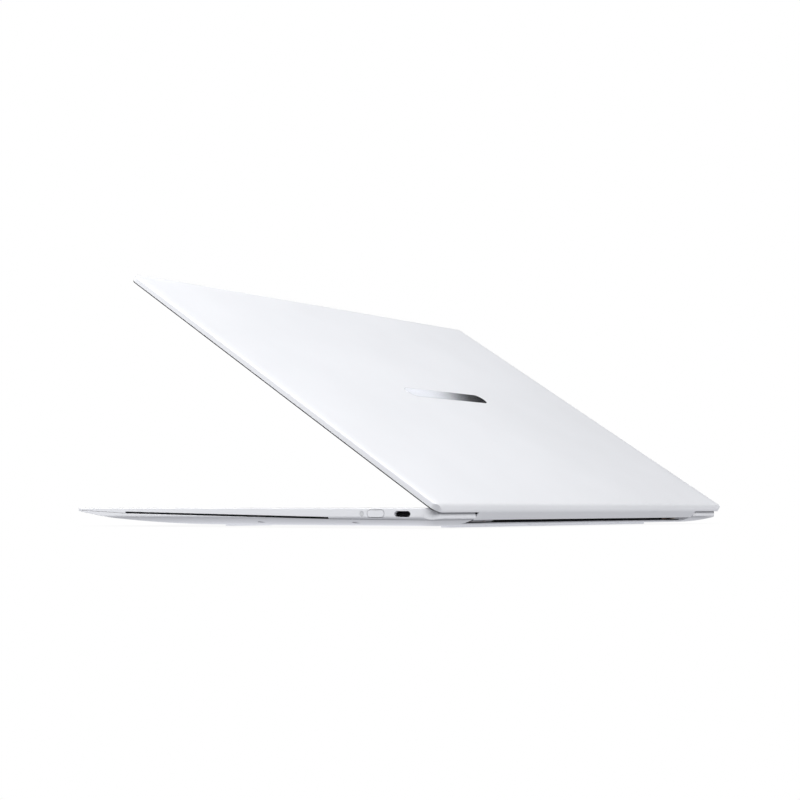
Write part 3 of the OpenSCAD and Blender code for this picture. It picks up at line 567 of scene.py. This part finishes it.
def make_world():
    """White to the camera and a soft studio to everything else."""
    world = bpy.data.worlds.new("studio")
    bpy.context.scene.world = world
    world.use_nodes = True
    tree = Tree(world.node_tree)
    way = tree.node("ShaderNodeTexCoord")["Generated"]

    sky = tree.math("ADD", tree.dot(way, SKY_TILT), SKY_LEVEL)
    dark = tree.math("MAXIMUM", tree.dot(way, Vector(DARK_WAY).normalized()), 0.0)
    dark = tree.math("MULTIPLY", tree.math("POWER", dark, DARK_FOCUS), -DARK_DEPTH)
    sky = tree.math("MAXIMUM", tree.math("ADD", sky, dark), SKY_LEAST)

    above = tree.spread(tree.split(way)["Z"], 0.0, 1.0, *CARD_TOP)
    below = tree.math("SUBTRACT", 1.0, above)
    black = card(tree, below, way, BLACK_CARD_WAY, BLACK_CARD_WIDTH)
    white = card(tree, above, way, WHITE_CARD_WAY, WHITE_CARD_WIDTH)
    kept = tree.math("MULTIPLY_ADD", black, BLACK_CARD_LEVEL - 1.0, 1.0)
    sky = tree.math("MULTIPLY_ADD", white, WHITE_CARD_LEVEL, tree.math("MULTIPLY", sky, kept))

    unseen = tree.node("ShaderNodeBackground", {"Color": SKY_COLOUR, "Strength": sky})[0]
    seen = tree.node("ShaderNodeBackground", {"Color": PURE_WHITE, "Strength": 1.0})[0]
    by_camera = tree.node("ShaderNodeLightPath")["Is Camera Ray"]
    surface = tree.node("ShaderNodeMixShader", {0: by_camera, 1: unseen, 2: seen})[0]
    tree.node("ShaderNodeOutputWorld", {"Surface": surface})


def light_table():
    """Pale glass lit from below, with a painted contact shadow where something stands on it."""
    material = bpy.data.materials.new("light_table")
    material.use_nodes = True
    tree = Tree(material.node_tree)
    by_camera = tree.node("ShaderNodeLightPath")["Is Camera Ray"]
    geometry = tree.node("ShaderNodeNewGeometry")

    # Painted shadow: the floor is darkened where the laptop hems it in.
    reach = {"Color": PURE_WHITE, "Distance": PAINTED_SHADOW_REACH}
    near = tree.node("ShaderNodeAmbientOcclusion", reach, samples=8)["AO"]
    shade = tree.math("MULTIPLY", tree.math("SUBTRACT", 1.0, near), PAINTED_SHADOW_DEPTH)
    seen = tree.math("SUBTRACT", 1.0, shade)

    x, y, _ = tree.split(geometry["Position"])
    half_x, half_y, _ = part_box("bottom_cover")[1]
    out_x = tree.math("SUBTRACT", tree.math("ABSOLUTE", x), half_x)
    out_y = tree.math("SUBTRACT", tree.math("ABSOLUTE", y), half_y)
    out = tree.math("MAXIMUM", out_x, out_y)
    glow = tree.spread(out, GLOW_UNDER, GLOW_ROUND, -GLOW_FADE, 0.0)

    level = tree.node("ShaderNodeMix", {0: by_camera, 2: glow, 3: seen})[0]
    colour = tree.mix(by_camera, GLOW_COLOUR, PURE_WHITE)
    lit = tree.node("ShaderNodeEmission", {"Color": colour, "Strength": level})[0]
    clear = tree.node("ShaderNodeBsdfTransparent", {"Color": PURE_WHITE})[0]
    surface = tree.node("ShaderNodeMixShader", {0: geometry["Backfacing"], 1: lit, 2: clear})[0]
    tree.node("ShaderNodeOutputMaterial", {"Surface": surface})
    return material


def make_floor():
    """A floor that shows from above only."""
    mesh = bmesh.new()
    bmesh.ops.create_grid(mesh, x_segments=2, y_segments=2, size=FLOOR_HALF)
    data = bpy.data.meshes.new("floor")
    mesh.to_mesh(data)
    mesh.free()
    data.materials.append(light_table())
    floor = bpy.data.objects.new("floor", data)
    bpy.context.scene.collection.objects.link(floor)
    floor.location.z = FLOOR_DROP


def soft_box(name, way, distance, size, level):
    """A softbox out along a direction; level is how white it makes a white card that faces it."""
    light = bpy.data.lights.new(name, "AREA")
    light.shape = "RECTANGLE"
    light.size = size
    light.size_y = size
    light.energy = level * (math.pi * distance) ** 2
    made = bpy.data.objects.new(name, light)
    bpy.context.scene.collection.objects.link(made)
    made.location = Vector(way).normalized() * distance
    made.rotation_mode = "QUATERNION"
    made.rotation_quaternion = (LIGHTS_AIM - made.location).to_track_quat("-Z", "Y")
    made.visible_camera = False


def make_camera():
    """A long lens at desk height, behind the laptop and to its right."""
    data = bpy.data.cameras.new("camera")
    data.lens = LENS
    data.sensor_width = 36
    data.clip_start = 0.01
    data.clip_end = 100
    camera = bpy.data.objects.new("camera", data)
    bpy.context.scene.collection.objects.link(camera)
    camera.location = CAMERA_AT
    aim = Vector((
        -math.sin(CAMERA_TURN) * math.cos(CAMERA_TILT),
        -math.cos(CAMERA_TURN) * math.cos(CAMERA_TILT),
        math.sin(CAMERA_TILT),
    ))
    camera.rotation_mode = "QUATERNION"
    camera.rotation_quaternion = aim.to_track_quat("-Z", "Y")
    bpy.context.scene.camera = camera


make_world()
make_floor()
soft_box("right_softbox", way=(0.58, -0.3, 0.76), distance=1.25, size=0.7, level=0.98)
soft_box("rear_softbox", way=(0.05, 0.86, 0.5), distance=2.4, size=1.1, level=0.55)
make_camera()
bpy.context.scene.view_settings.view_transform = "Standard"
